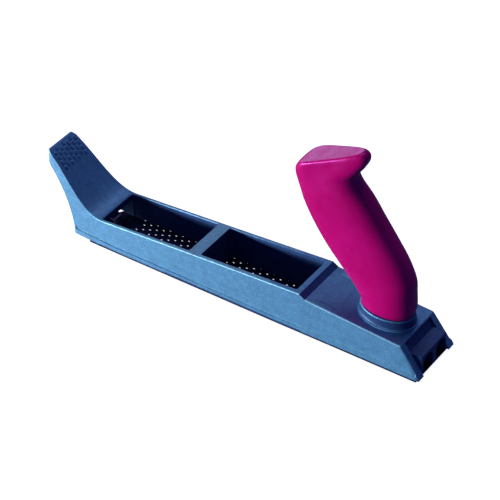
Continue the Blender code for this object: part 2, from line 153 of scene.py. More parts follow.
# Blade: a punched sheet with turned-up edges, a tongue and upright tabs
BLADE_X = (-110.0, 142.0)
BLADE_TOP = 1.0
BLADE_THICKNESS = 0.5
BLADE_HALF_WIDTH = 20.9
BLADE_BEND = 19.7
TONGUE_X = -115.4
TONGUE_HALF_WIDTH = 14.6
TONGUE_CORNER = 2.0
FRONT_TAB_X = (-104.2, -103.2)
FRONT_TAB_HALF_WIDTH = 5.0
FRONT_TAB_TOP = 9.0
REAR_TAB = (3.2, 12.0)
REAR_TAB_TOP = 8.0
TAB_FOOT = 0.6
CELL_ALONG = (4.1, 2.1)
CELL_ACROSS = (-2.3, 4.2)
HOLE_HALF_AXES = (0.66, 0.46)
HOLE_RINGS = ((2.0, 0.2), (1.55, 0.55), (1.0, 1.0))
TOOTH_DIP = 0.42
TOOTH_RISE = 0.12
HOLE_FIELD = (-94.0, 129.0, 17.4)

# Tension hook, screw and washer
HOOK_PLATE_X = (-113.5, -110.5)
HOOK_HALF_WIDTH = 3.8
HOOK_LIP_X = (-102.9, -101.1)
HOOK_Z = (3.2, 12.6)
HOOK_BRIDGE_BOTTOM = 10.4
SCREW_HEAD_X = (-124.6, -122.4)
SCREW_HEAD_RADIUS = 3.8
SCREW_SLOT = (1.2, 1.3)
SCREW_END_X = -105.2
SCREW_PITCH = 0.7
SCREW_WASHER = (SCREW_RADIUS + GAP, 4.3, SCREW_HEAD_X[1] + GAP, COUNTERBORE_FLOOR_X - GAP)

# Handle bolt, its washers and the insert, in the seat's frame
WASHER_HOLE_RADIUS = 3.3
FLAT_WASHER = (7.5, -8.5, -7.3)
SPRING_WASHER = (5.6, -10.3, -8.8)
SPRING_GAP_ANGLE = 12.0
BOLT_HEAD_Z = (-14.6, -10.6)
BOLT_HEAD_RADIUS = 5.77
BOLT_RADIUS = 3.0
BOLT_TOP = 24.0
BOLT_PITCH = 1.0
INSERT_RADIUS = 5.5
INSERT_Z = (3.0, 17.0)
KNURLS = 24

# The grip's front loses this much squareness above the foot; its top closes in these rings
FRONT_SQUARENESS = 0.2
CROWN_SHARES = (0.97, 0.9, 0.75, 0.5, 0.25)
CROWN_RISE = 0.12

# Grip sections at the foot, in the seat's frame, z from the collar's top
FOOT_STATIONS = [
    ((-16.9, 0.0), (16.9, 0.0), 11.1, 0.0, 0.92),
    ((-17.45, 0.5), (17.45, 0.5), 11.65, 0.0, 0.91),
    ((-17.6, 1.3), (17.8, 1.3), 11.8, 0.0, 0.9),
    ((-17.4, 4.0), (18.9, 6.0), 11.9, 0.0, 0.88),
]

# Grip sections above the foot: front (x, z), rear (x, z), half width, rear taper, squareness
GRIP_STATIONS = [
    ((90.6, 41.0), (129.0, 48.5), 12.0, 0.00, 0.86),
    ((86.5, 46.2), (128.7, 58.1), 12.0, 0.00, 0.86),
    ((77.0, 57.5), (124.2, 70.3), 12.0, 0.00, 0.86),
    ((67.6, 69.3), (116.6, 82.9), 12.0, 0.00, 0.86),
    ((59.8, 81.7), (108.4, 95.2), 12.0, 0.00, 0.86),
    ((53.8, 94.3), (100.4, 107.4), 12.0, 0.00, 0.86),
    ((51.2, 105.0), (92.6, 116.5), 12.0, 0.06, 0.82),
    ((49.9, 111.5), (90.2, 122.5), 12.1, 0.16, 0.76),
    ((49.6, 115.4), (94.4, 129.2), 12.3, 0.30, 0.68),
    ((50.2, 119.0), (98.0, 135.6), 12.4, 0.43, 0.62),
    ((52.2, 122.4), (98.4, 140.0), 12.4, 0.52, 0.60),
    ((53.6, 123.9), (96.4, 141.9), 12.0, 0.55, 0.60),
    ((55.3, 125.2), (94.4, 141.9), 10.8, 0.56, 0.60),
]

# The middle of a noise texture, where most of its values lie
NOISE_SPAN = (0.3, 0.7)

# Camera, floor and sky, in metres
CAMERA_BACK = (0.4777, -0.6062, 0.6358)
CAMERA_TARGET = (0.0076, 0.0, 0.0245)
CAMERA_DISTANCE = 1.2952
CAMERA_ROLL = -3.95
CAMERA_LENS = 148.0
CAMERA_SENSOR = 36.0
CAMERA_SHIFT = (-0.003, 0.0158)

FLOOR_REACH = 6.0
FLOOR_Z = -0.0002
FLOOR_GLOW = 0.92
SKY_COLOR = (0.25, 0.3, 1.0)
SKY_FILL = 0.15

# Softboxes: name, direction, distance, (width, height), power, colour
LIGHT_TARGET = (0.0, 0.0, 0.03)
LIGHTS = [
    ("key", (-0.72, -0.69, 0.03), 1.6, (1.0, 0.1), 48.0, (1.0, 1.0, 1.0)),
    ("back", (-0.8, 0.6, 0.16), 1.5, (0.9, 0.4), 2.4, (0.8, 0.6, 1.0)),
    ("top", (-0.15, 0.25, 1.0), 1.5, (0.9, 0.9), 7.0, (0.8, 0.78, 1.0)),
]


# ---- curves


def cubic_points(points, steps):
    """Points along a cubic Bezier curve."""
    out = []
    for k in range(steps + 1):
        t = k / steps
        weights = ((1 - t) ** 3, 3 * t * (1 - t) ** 2, 3 * t * t * (1 - t), t ** 3)
        out.append(tuple(sum(w * p[i] for w, p in zip(weights, points)) for i in (0, 1)))
    return out


def smoothstep(low, high, value):
    t = min(max((value - low) / (high - low), 0.0), 1.0)
    return t * t * (3 - 2 * t)


def within(span, soft, value):
    """1 inside the span, easing to 0 over soft at each end of it."""
    low, high = span
    return smoothstep(low, low + soft, value) * (1 - smoothstep(high - soft, high, value))


def rounded(points, radii, steps=6):
    """Replace a corner of an open polyline by an arc wherever radii gives one."""
    out = []
    for i, point in enumerate(points):
        radius = radii.get(i, 0.0)
        if not radius:
            out.append(point)
            continue
        p = Vector(point)
        a = (Vector(points[i - 1]) - p).normalized()
        b = (Vector(points[i + 1]) - p).normalized()
        half = a.angle(b) / 2
        reach = radius / np.tan(half)
        centre = p + (a + b).normalized() * (radius / sin(half))
        start, end = p + a * reach - centre, p + b * reach - centre
        out += [tuple(centre + start.slerp(end, k / steps)) for k in range(steps + 1)]
    return out


def spaced(points, longest, fine=-1000.0):
    """Split segments to at most longest, or to a third of it left of x = fine."""
    out = [points[0]]
    for a, b in zip(points, points[1:]):
        limit = longest if b[0] > fine else longest / 3
        count = max(1, int(np.ceil(hypot(b[0] - a[0], b[1] - a[1]) / limit)))
        for k in range(1, count + 1):
            out.append((a[0] + (b[0] - a[0]) * k / count, a[1] + (b[1] - a[1]) * k / count))
    return out


def lengths(points):
    """Distance along a polyline at each of its points."""
    array = np.array(points)
    steps = np.hypot(*np.diff(array, axis=0).T)
    return np.concatenate([[0.0], np.cumsum(steps)])


def along(points, marks, distance):
    """The point of a polyline at a distance along it."""
    return tuple(float(np.interp(distance, marks, axis)) for axis in np.array(points).T)


# ---- meshes


def new_object(name, data):
    """An object with this data, in the scene."""
    obj = bpy.data.objects.new(name, data)
    bpy.context.scene.collection.objects.link(obj)
    return obj


def mesh_object(name, bm):
    """An object with the mesh in bm as it is, in the scene."""
    mesh = bpy.data.meshes.new(name)
    bm.to_mesh(mesh)
    bm.free()
    return new_object(name, mesh)


def to_object(name, bm):
    """Turn a bmesh of closed solids in millimetres into an object in metres, in the scene."""
    bmesh.ops.scale(bm, vec=(MM, MM, MM), verts=bm.verts)
    bmesh.ops.recalc_face_normals(bm, faces=bm.faces)
    if bm.calc_volume(signed=True) < 0:
        bmesh.ops.reverse_faces(bm, faces=bm.faces)
    return mesh_object(name, bm)


def bridge(bm, low, high):
    """Join two closed rings of vertices."""
    for i in range(len(low)):
        bm.faces.new((low[i - 1], low[i], high[i], high[i - 1]))


def loft(bm, rings, caps=(True, True)):
    """Skin closed rings of equal length."""
    rows = [[bm.verts.new(point) for point in ring] for ring in rings]
    for low, high in zip(rows, rows[1:]):
        bridge(bm, low, high)
    if caps[0]:
        bm.faces.new(reversed(rows[0]))
    if caps[1]:
        bm.faces.new(rows[-1])
    return rows


def box(bm, x, half_width, z):
    """A box across the middle, from its (low, high) in x and z; returns its vertices."""
    size = Vector((x[1] - x[0], 2 * half_width, z[1] - z[0]))
    middle = Vector((x[0] + x[1], 0.0, z[0] + z[1])) / 2
    matrix = Matrix.Translation(middle) @ Matrix.Diagonal((*size, 1.0))
    return bmesh.ops.create_cube(bm, size=1.0, matrix=matrix)["verts"]


def soft_box(bm, x, half_width, z, radius, past_x):
    """A box with its edges past an x rounded."""
    verts = box(bm, x, half_width, z)
    edges = [e for e in bm.edges if all(v in verts and v.co.x > past_x for v in e.verts)]
    bmesh.ops.bevel(bm, geom=edges, offset=radius, segments=3, profile=0.5, affect="EDGES")


def seat_matrix():
    """Seat frame to world, in millimetres."""
    turn = Matrix.Rotation(radians(SEAT_TILT), 4, "Y")
    return Matrix.Translation((SEAT[0], 0.0, SEAT[1])) @ turn


def spun(bm, rows, matrix, segments=48, hollow=False, squash=0.0):
    """Skin rings about Z from rows of (height, radius); a radius may be a function of the angle.
    hollow joins the last ring to the first, round a hole; squash is taken off the y half axis."""
    rings = []
    for height, radius in rows:
        ring = []
        for i in range(segments):
            angle = 2 * pi * i / segments
            reach = radius(angle) if callable(radius) else radius
            point = Vector((reach * cos(angle), (reach - squash) * sin(angle), height))
            ring.append(matrix @ point)
        rings.append(ring)
    rows = loft(bm, rings, caps=(not hollow, not hollow))
    if hollow:
        bridge(bm, rows[-1], rows[0])


def lathe(bm, profile, matrix, segments, squash=0.0):
    """Turn (radius, height) points about Z, closed at both ends."""
    rows = [(height, radius) for radius, height in profile]
    spun(bm, rows, matrix, segments, squash=squash)


def thread_rows(radius, pitch, low, high):
    """Rows of a threaded shank from low to high, with a chamfered end at high."""
    depth = 0.55 * pitch
    step = pitch / 6
    count = int(abs(high - low) / step)
    rows = []
    for k in range(count + 1):
        height = low + (high - low) * k / count
        fade = min(k / 6, (count - k) / 6, 1.0)
        end = min(1.0, (count - k + 6) / 12)

        def reach(angle, height=height, fade=fade, end=end):
            turn = (height / pitch - angle / (2 * pi)) % 1.0
            return end * (radius - depth * fade * (1 - abs(2 * turn - 1)))

        rows.append((height, reach))
    return rows


def plate(bm, outline, span, bevel, place):
    """A flat plate of an outline with bevelled edges; place(u, v, w) puts each point in space."""
    points = [Vector(p) for p in outline]
    inner = []
    for before, point, after in zip(points[-1:] + points[:-1], points, points[1:] + points[:1]):
        a, b = (point - before).normalized(), (after - point).normalized()
        inward = Vector((-a.y - b.y, a.x + b.x)).normalized()
        inner.append(point + inward * bevel / max(0.5, sqrt((1 + a.dot(b)) / 2)))
    low, high = span
    layers = ((inner, low), (points, low + bevel), (points, high - bevel), (inner, high))
    loft(bm, [[place(p.x, p.y, w) for p in layer] for layer, w in layers])


def arc(centre, radius, start, end, steps):
    """Points of an arc in a (radius, height) profile; angles in degrees."""
    return [(centre[0] + radius * cos(radians(start + (end - start) * k / steps)),
             centre[1] + radius * sin(radians(start + (end - start) * k / steps)))
            for k in range(steps + 1)]


def boolean(target, bm, operation):
    """Apply an exact Boolean to target with the solids in bm."""
    other = to_object("cutter", bm)
    modifier = target.modifiers.new("cut", "BOOLEAN")
    modifier.operation = operation
    modifier.solver = "EXACT"
    modifier.object = other
    graph = bpy.context.evaluated_depsgraph_get()
    mesh = bpy.data.meshes.new_from_object(target.evaluated_get(graph))
    target.modifiers.clear()
    old = target.data
    target.data = mesh
    bpy.data.meshes.remove(old)
    bpy.data.objects.remove(other)


def finish_shading(obj, angle=32.0):
    """Keep flat faces flat and fillets round, and return the object."""
    obj.data.shade_smooth()
    obj.data.set_sharp_from_angle(angle=radians(angle))
    modifier = obj.modifiers.new("normals", "WEIGHTED_NORMAL")
    modifier.keep_sharp = True
    modifier.weight = 80
    return obj


# ---- body


def sole_height(x):
    for start, end in zip(SOLE_LINE, SOLE_LINE[1:]):
        if x <= end[0]:
            return line_height(x, start, end)
    return HEEL_Z


def line_height(x, start, end):
    """Height at x of the straight line through two (x, z) points."""
    (x0, z0), (x1, z1) = start, end
    return z0 + (z1 - z0) * (x - x0) / (x1 - x0)


def deck_height(x):
    return line_height(x, STEP_FOOT, DECK_END)


def rim_height(x):
    return line_height(x, WING_TOP_CURVE[3], STEP_TOP)


def corner_inset(radius, distance):
    """How far a rounded corner turns in from its side, at a distance from its end."""
    inside = max(radius - max(distance, 0.0), 0.0)
    return radius - sqrt(max(radius ** 2 - inside ** 2, 0.0))


def body_half_width(x, z):
    """The sides lean in with height, and turn in at the wing's tip."""
    blend = min(max((x - WING_TOP_CURVE[3][0]) / (STEP_TOP[0] - WING_TOP_CURVE[3][0]), 0.0), 1.0)
    draft = WING_DRAFT + (REAR_DRAFT - WING_DRAFT) * blend
    width = SOLE_HALF_WIDTH - draft * max(z - SOLE_LINE[0][1], 0.0)
    return width - corner_inset(WING_TIP_RADIUS, x - WING_FRONT_CURVE[0][0])


def heel_turn(x, z):
    """How far the sides turn in at the heel's corners, measured from the sloping heel face."""
    if z > DECK_END[1] + PAST:
        return 0.0
    slope_x = HEEL_X - (z - HEEL_Z) * (HEEL_X - DECK_END[0]) / (DECK_END[1] - HEEL_Z)
    return corner_inset(HEEL_CORNER_RADIUS, slope_x - x)


def side_y(x, z, lip):
    """Half width with the thickened lip along the sole; lip is 0 to 1."""
    return body_half_width(x, z) - heel_turn(x, z) * 0.45 - LIP_DEPTH * (1 - lip)


def beyond(points, distance):
    """The first point, then those further from it than distance."""
    first = Vector(points[0])
    return points[:1] + [p for p in points if (Vector(p) - first).length > distance]


def top_polyline():
    points = [WING_TIP_TOP] + beyond(cubic_points(WING_TOP_CURVE, 56), 2.1)
    corner = len(points)
    points += [STEP_TOP, STEP_FOOT, DECK_END, (HEEL_X - 0.35, HEEL_Z + 0.7)]
    radii = {1: 1.0, corner: 1.7, corner + 1: 1.0, corner + 2: 2.2}
    return spaced(rounded(points, radii), 1.1, PAD_END_X)


def sole_polyline():
    front = beyond(cubic_points(WING_FRONT_CURVE, 30), 1.0)
    points = [WING_TIP_SOLE] + front
    corner = len(points) - 1
    points += SOLE_LINE[1:-1] + [(HEEL_X - 0.5, HEEL_Z)]
    return spaced(rounded(points, {1: 1.0, corner: 1.3}), 1.1)


def knots(points, marks, places):
    """Distances of the first point, of the last point left of each place, and of the end."""
    at = [max(m for p, m in zip(points, marks) if p[0] <= x + 1e-6) for x in places]
    return [marks[1]] + at + [marks[-1]]


def station_pairs():
    """Matched points of the top and the sole, from the wing's tip to the heel."""
    top, sole = top_polyline(), sole_polyline()
    top_marks, sole_marks = lengths(top), lengths(sole)
    knots_top = knots(top, top_marks, TOP_KNOTS)
    knots_sole = knots(sole, sole_marks, SOLE_KNOTS)
    pairs = []
    for distance in top_marks[1:]:
        other = float(np.interp(distance, knots_top, knots_sole))
        pairs.append((distance, along(top, top_marks, distance), along(sole, sole_marks, other)))
    return pairs


def pad_bump(distance, y):
    """Height of the thumb pad's bars, distance being measured from the wing's tip."""
    column = round(y / PAD_COLUMN_PITCH)
    if not PAD_LENGTH[0] < distance < PAD_LENGTH[1] or abs(column) > PAD_COLUMNS:
        return 0.0
    across = abs(y - column * PAD_COLUMN_PITCH)
    shifted = distance - PAD_LENGTH[0] - (column % 2) * PAD_ROW_PITCH / 2
    row = int(np.floor(shifted / PAD_ROW_PITCH))
    centre = (row + 0.5) * PAD_ROW_PITCH
    if row < 0:
        return 0.0
    length, width = PAD_BAR[0] / 2, PAD_BAR[1] / 2
    rise = 1 - smoothstep(width - PAD_SOFT[1], width, across)
    ends = 1 - smoothstep(length - PAD_SOFT[0], length, abs(shifted - centre))
    return PAD_HEIGHT * rise * ends


def top_offset(distance, x, y):
    """Relief of the top: thumb pad, channel along the rim, and blank label recess."""
    offset = pad_bump(distance, y)
    near_channel = smoothstep(*CHANNEL_START, x) * (1 - smoothstep(*CHANNEL_END, x))
    offset -= CHANNEL_DEPTH * near_channel * within(CHANNEL, 0.5, abs(y))
    across = 1 - smoothstep(LABEL_HALF_WIDTH - LABEL_SOFT, LABEL_HALF_WIDTH, abs(y))
    return offset - LABEL_DEPTH * within(LABEL_X, LABEL_SOFT, x) * across


def top_normals(pairs):
    tops = np.array([top for _, top, _ in pairs])
    steps = np.diff(tops, axis=0)
    steps /= np.linalg.norm(steps, axis=1)[:, None]
    tangents = np.vstack([steps[:1], steps[:-1] + steps[1:], steps[-1:]])
    tangents /= np.linalg.norm(tangents, axis=1)[:, None]
    return [(-t[1], t[0]) for t in tangents]


def body_ring(pair, normal):
    """One closed section: sole, side with its lip, fillet, and the relief of the top."""
    distance, (xt, zt), (xb, zb) = pair
    on_sole = smoothstep(TOE_X - 1.2, TOE_X + 0.6, xb) if zb < SOLE_CORNER_Z else 0.0
    height = max(zt - zb, 0.4)
    inset = min(TOP_FILLET * (0.6 + 0.4 * smoothstep(0.0, 12.0, distance)),
                (0.1 if xt < 0 else 0.3) * hypot(xt - xb, zt - zb))
    xs, zs = xt - normal[0] * inset, zt - normal[1] * inset
    levels = [0.0, 0.35, 0.9, 1.6] + [LIP_HEIGHT + off for off in (-0.55, -0.3, -0.1, 0.12, 0.5)]
    # on a low section the levels crowd together below its top
    half = 0.45 * height
    levels = [min(level, half * (1 + i / 8)) if level > half else level
              for i, level in enumerate(levels)]
    fractions = [level / height for level in levels]
    fractions += list(np.linspace(fractions[-1], 1.0, SIDE_STEPS)[1:])
    side = []
    for i, fraction in enumerate(fractions):
        x, z = xb + (xs - xb) * fraction, zb + (zs - zb) * fraction
        lip = on_sole * (1 - smoothstep(LIP_HEIGHT - 0.35, LIP_HEIGHT + 0.15, fraction * height))
        y = side_y(x, z, lip)
        if i == 0:
            rise = SOLE_FILLET * 0.3
            side += [(x, y - SOLE_FILLET, z), (x, y - rise, z + rise * min(height, 1.0))]
        else:
            side.append((x, y, z))
    edge = side[-1][1]
    for k in range(1, FILLET_STEPS + 1):
        angle = pi / 2 * k / FILLET_STEPS
        drop = inset * (1 - sin(angle))
        x, z = xt - normal[0] * drop, zt - normal[1] * drop
        side.append((x, edge - inset + inset * cos(angle), z))
    last = side[-1][1]
    for k in range(1, FLAT_STEPS + 1):
        y = last * (1 - k / FLAT_STEPS)
        offset = top_offset(distance, xt, y)
        side.append((xt + normal[0] * offset, y, zt + normal[1] * offset))
    return side + [(x, -y, z) for x, y, z in reversed(side[:-1])]


def make_body_blank():
    """The casting before its pockets, bores and blocks."""
    pairs = station_pairs()
    bm = bmesh.new()
    loft(bm, [body_ring(pair, normal) for pair, normal in zip(pairs, top_normals(pairs))])
    return to_object("body_casting", bm)


def rounded_rectangle(x, half_width, radius, grow, steps=6):
    """Points of a rectangle grown by grow, its corners rounded."""
    radius = radius + grow
    out = []
    for sx, sy, start in ((1, 1, 0), (-1, 1, 90), (-1, -1, 180), (1, -1, 270)):
        centre = (x[sx > 0] + sx * (grow - radius), sy * (half_width + (grow - radius)))
        out += arc(centre, radius, start, start + 90, steps)
    return out


def flared_cutter(bm, x, half_width, corner, fillet, surface, floor, ceiling=4.0):
    """A pocket cutter whose mouth flares, which leaves a fillet on the surface it comes out of.
    surface(px) gives the height of the mouth, floor the height of the far end."""
    rings = [[(px, py, floor(px)) for px, py in rounded_rectangle(x, half_width, corner, 0.0)]]
    for k in range(7):
        angle = pi / 2 * k / 6
        grow = fillet * (1 - cos(angle))
        drop = fillet * (1 - sin(angle))
        rings.append([(px, py, surface(px) - drop + (0.01 if k == 6 else 0.0))
                      for px, py in rounded_rectangle(x, half_width, corner, grow)])
    rings.append([(px, py, surface(px) + ceiling)
                  for px, py in rounded_rectangle(x, half_width, corner, fillet)])
    loft(bm, rings)


def cut_windows(body):
    bm = bmesh.new()
    for low, high in WINDOWS:
        flared_cutter(bm, (low, high), WINDOW_HALF_WIDTH, WINDOW_CORNER, WINDOW_FILLET,
                      rim_height, lambda px: -PAST)
    flared_cutter(bm, REAR_HOLLOW, WINDOW_HALF_WIDTH, 2.0, 0.01,
                  lambda px: deck_height(px) - DECK_THICKNESS - 1.0, lambda px: -PAST, 1.0)
    boolean(body, bm, "DIFFERENCE")


def heel_frame():
    """A matrix whose x runs down the heel's slope and whose z points out of it."""
    slope = Vector((HEEL_X - DECK_END[0], 0.0, HEEL_Z - DECK_END[1])).normalized()
    out = Vector((-slope.z, 0.0, slope.x))
    turn = Matrix((slope, Vector((0.0, 1.0, 0.0)), out)).transposed().to_4x4()
    return Matrix.Translation((DECK_END[0], 0.0, DECK_END[1])) @ turn


def cut_recesses(body):
    """The hook's chamber behind the toe, and the shallow recess in the heel."""
    bm = bmesh.new()
    soft_box(bm, HOOK_CHAMBER, HOOK_CHAMBER_HALF_WIDTH, (-PAST, HOOK_CHAMBER_TOP),
             1.0, HOOK_CHAMBER[0] - 1)
    boolean(body, bm, "DIFFERENCE")
    length = hypot(HEEL_X - DECK_END[0], DECK_END[1] - HEEL_Z)
    bm = bmesh.new()
    flared_cutter(bm, (HEEL_RECESS_INSETS[0], length + HEEL_RECESS_INSETS[1]),
                  HEEL_RECESS_HALF_WIDTH, 1.0, 0.6, lambda px: 0.0,
                  lambda px: -HEEL_RECESS_DEPTH)
    bmesh.ops.transform(bm, matrix=heel_frame(), verts=bm.verts)
    boolean(body, bm, "DIFFERENCE")


def collar_profile():
    """(radius, height) of the collar from inside the deck: a concave foot and a rounded rim."""
    reach = COLLAR_HALF_AXES[0]
    foot = arc((reach + COLLAR_FOOT, COLLAR_FOOT), COLLAR_FOOT, 270, 180, 6)
    rim = arc((reach - COLLAR_ROUND, COLLAR_HEIGHT - COLLAR_ROUND), COLLAR_ROUND, 0, 90, 5)
    return [(reach + COLLAR_FOOT, -1.5)] + foot[:-1] + rim


def add_blocks(body):
    """The heel's square block, the collar and the boss under the deck."""
    bm = bmesh.new()
    soft_box(bm, HEEL_BLOCK_X, HEEL_BLOCK_HALF_WIDTH, HEEL_BLOCK_Z, 0.6, HEEL_BLOCK_X[0] + 1)
    thin = COLLAR_HALF_AXES[0] - COLLAR_HALF_AXES[1]
    lathe(bm, collar_profile(), seat_matrix(), 72, thin)
    lathe(bm, [(BOSS_RADIUS - 0.5, BOSS_BOTTOM), (BOSS_RADIUS, BOSS_BOTTOM + 0.5),
               (BOSS_RADIUS + 0.6, -1.8)], seat_matrix(), 48)
    boolean(body, bm, "UNION")


def arch_outline():
    low, high = HEEL_ARCH
    radius = (high - low) / 2
    crown = arc(((low + high) / 2, HEEL_ARCH_TOP - radius), radius, 0, 180, 16)
    return crown + [(low, -PAST), (high, -PAST)]


def cut_bores(body):
    """The arched mouths, the collar's socket and bolt hole, and the tension screw's hole."""
    bm = bmesh.new()
    for side in (-1, 1):
        loft(bm, [[(x, side * y, z) for y, z in arch_outline()]
                  for x in (REAR_TAB_X - GAP, HEEL_X + PAST)])
    lathe(bm, [(BOLT_HOLE_RADIUS, BOSS_BOTTOM - PAST), (BOLT_HOLE_RADIUS, SOCKET_FLOOR),
               (SOCKET_RADIUS, SOCKET_FLOOR), (SOCKET_RADIUS, COLLAR_HEIGHT - 0.5),
               (SOCKET_RADIUS + 0.5, COLLAR_HEIGHT + 0.01),
               (SOCKET_RADIUS + 0.5, COLLAR_HEIGHT + PAST)], seat_matrix(), 48)
    hole = SCREW_RADIUS + GAP
    lathe(bm, [(COUNTERBORE_RADIUS, TOE_X - 2 * PAST), (COUNTERBORE_RADIUS, COUNTERBORE_FLOOR_X),
               (hole, COUNTERBORE_FLOOR_X), (hole, HOOK_CHAMBER[0] + PAST)], screw_matrix(), 40)
    boolean(body, bm, "DIFFERENCE")


def in_shade(centre, normal, to_seat, to_heel):
    """Whether a face is in a pocket or recess, on the step, by the collar or low on a side."""
    seat, heel = to_seat @ centre, to_heel @ centre
    wide, narrow = COLLAR_HALF_AXES
    reach = hypot(seat.x, seat.y * wide / narrow)
    x, y, z = centre.x, abs(centre.y), centre.z
    if wide - COLLAR_SHADE[0] < reach < wide + COLLAR_SHADE[1] and \
            COLLAR_SHADE_Z[0] < seat.z < COLLAR_SHADE_Z[1]:
        return True
    if y < HEEL_RECESS_HALF_WIDTH + 0.1 and heel.x > 1.2 and x > HEEL_BLOCK_X[0]:
        return z > HEEL_BLOCK_Z[0]
    if y > SOLE_HALF_WIDTH - 2.0 and x > TOE_X + 6.0 and z < SOLE_SHADE_Z:
        return True
    if STEP_TOP[0] - 0.6 < x < STEP_FOOT[0] and normal.x > STEEP:
        return True
    low, high = WINDOWS[0][0] - POCKET_MARGIN[0], WINDOWS[1][1] + POCKET_MARGIN[0]
    in_pocket = y < WINDOW_HALF_WIDTH + POCKET_MARGIN[1] and low < x < high
    return in_pocket and abs(normal.z) < STEEP and z < rim_height(x) - WINDOW_FILLET


def in_painted_highlight(centre, normal):
    """Whether a face is on the rounded long edges or the rim tops, where a lighter paint stands for
    painted highlight.
    """
    if WINDOWS[0][0] < centre.x < STEP_TOP[0] - 0.4 and normal.z > 0.9:
        return centre.z > rim_height(centre.x) - HIGHLIGHT_DEPTH
    return abs(centre.y) > HIGHLIGHT_Y and abs(normal.y) > 0.18 and STEEP < normal.z < 0.98


def mark_paints(body):
    """Give the faces where shade falls a darker paint as painted shade, and the long edges and rim
    tops a lighter paint as painted highlight.
    """
    to_seat, to_heel = seat_matrix().inverted(), heel_frame().inverted()
    for polygon in body.data.polygons:
        centre = polygon.center / MM
        if in_shade(centre, polygon.normal, to_seat, to_heel):
            polygon.material_index = 1
        elif in_painted_highlight(centre, polygon.normal):
            polygon.material_index = 2


def make_body():
    body = make_body_blank()
    cut_windows(body)
    cut_recesses(body)
    add_blocks(body)
    cut_bores(body)
    return finish_shading(body)


# ---- handle


def seat_local(x, z):
    tilt = radians(SEAT_TILT)
    dx, dz = x - SEAT[0], z - SEAT[1]
    return dx * cos(tilt) - dz * sin(tilt), dx * sin(tilt) + dz * cos(tilt)


def handle_stations():
    """Rows of front x and z, rear x and z, half width, taper, squareness in the seat's frame."""
    foot = COLLAR_HEIGHT + GAP
    rows = [(fx, foot + fz, rx, foot + rz, *rest) for (fx, fz), (rx, rz), *rest in FOOT_STATIONS]
    rows += [(*seat_local(*front), *seat_local(*rear), *rest)
             for front, rear, *rest in GRIP_STATIONS]
    return np.array(rows)


def catmull(rows, steps):
    """A uniform Catmull-Rom curve through the rows, steps points to a span."""
    padded = np.vstack([2 * rows[0] - rows[1], rows, 2 * rows[-1] - rows[-2]])
    out = []
    for i in range(1, len(padded) - 2):
        p0, p1, p2, p3 = padded[i - 1:i + 3]
        for k in range(steps):
            t = k / steps
            out.append(0.5 * (2 * p1 + (p2 - p0) * t + (2 * p0 - 5 * p1 + 4 * p2 - p3) * t * t
                              + (3 * p1 - p0 - 3 * p2 + p3) * t ** 3))
    out.append(padded[-2])
    return out


def handle_ring(row, count=112):
    fx, fz, rx, rz, half_width, taper, power = row
    front_power = power - FRONT_SQUARENESS * smoothstep(COLLAR_HEIGHT, COLLAR_HEIGHT + 30.0, fz)
    points = []
    for i in range(count):
        angle = 2 * pi * i / count
        lengthwise, across = cos(angle), sin(angle)
        edge = power if lengthwise > 0 else front_power
        lengthwise = copysign(abs(lengthwise) ** edge, lengthwise)
        across = copysign(abs(across) ** power, across)
        t = (lengthwise + 1) / 2
        x, z = fx + (rx - fx) * t, fz + (rz - fz) * t
        points.append((x, half_width * across * (1 - taper * t), z))
    return points


def make_handle():
    """The grip's moulding with its spigot, and the bore for the insert and the bolt."""
    bm = bmesh.new()
    rings = [handle_ring(row) for row in catmull(handle_stations(), 6)]
    last = loft(bm, rings, caps=(True, False))[-1]
    # the top closes in rings, so that it shades as one smooth crown
    middle = sum((v.co for v in last), Vector()) / len(last)
    previous = last
    for share in CROWN_SHARES:
        lift = Vector((0, 0, CROWN_RISE * (1 - share ** 2)))
        ring = [bm.verts.new(middle + (v.co - middle) * share + lift) for v in last]
        bridge(bm, previous, ring)
        previous = ring
    bm.faces.new(previous)
    bmesh.ops.transform(bm, matrix=seat_matrix(), verts=bm.verts)
    grip = to_object("grip_moulding", bm)
    bm = bmesh.new()
    lathe(bm, [(SPIGOT_RADIUS - 0.6, SPIGOT_BOTTOM), (SPIGOT_RADIUS, SPIGOT_BOTTOM + 0.6),
               (SPIGOT_RADIUS, COLLAR_HEIGHT + PAST)], seat_matrix(), 64)
    boolean(grip, bm, "UNION")
    bm = bmesh.new()
    lathe(bm, [(6.1, SPIGOT_BOTTOM - PAST), (6.1, SPIGOT_BOTTOM), (5.8, SPIGOT_BOTTOM + 0.3),
               (5.8, 17.3), (3.6, 17.3), (3.6, 27.0)], seat_matrix(), 48)
    boolean(grip, bm, "DIFFERENCE")
    return finish_shading(grip, 40.0)


# ---- blade


def cell_border(centre):
    """The outline of one cell of the punched pattern, three points to a side, anticlockwise."""
    along, across = Vector(CELL_ALONG), Vector(CELL_ACROSS)
    corners = [centre + (along * a + across * b) / 2
               for a, b in ((-1, -1), (1, -1), (1, 1), (-1, 1))]
    return [corners[side].lerp(corners[(side + 1) % 4], k / 3)
            for side in range(4) for k in range(3)]


def punch_cell(bm, centre):
    """One cell of sheet; inside the field it has a hole whose leading edge is pressed down."""
    border = cell_border(centre)
    outer = [bm.verts.new((p.x, p.y, BLADE_TOP)) for p in border]
    start, end, reach = HOLE_FIELD
    if not (start < centre.x < end and abs(centre.y) < reach):
        bm.faces.new(outer)
        return
    angles = [(p - centre).to_2d() for p in border]
    previous = outer
    for size, press in HOLE_RINGS:
        ring = []
        for direction in angles:
            angle = atan2(direction.y, direction.x)
            dip = TOOTH_DIP * press * max(0.0, cos(angle)) ** 1.5
            rise = TOOTH_RISE * press * max(0.0, -cos(angle))
            ring.append(bm.verts.new((centre.x + HOLE_HALF_AXES[0] * size * cos(angle),
                                      centre.y + HOLE_HALF_AXES[1] * size * sin(angle),
                                      BLADE_TOP - dip + rise)))
        bridge(bm, previous, ring)
        previous = ring


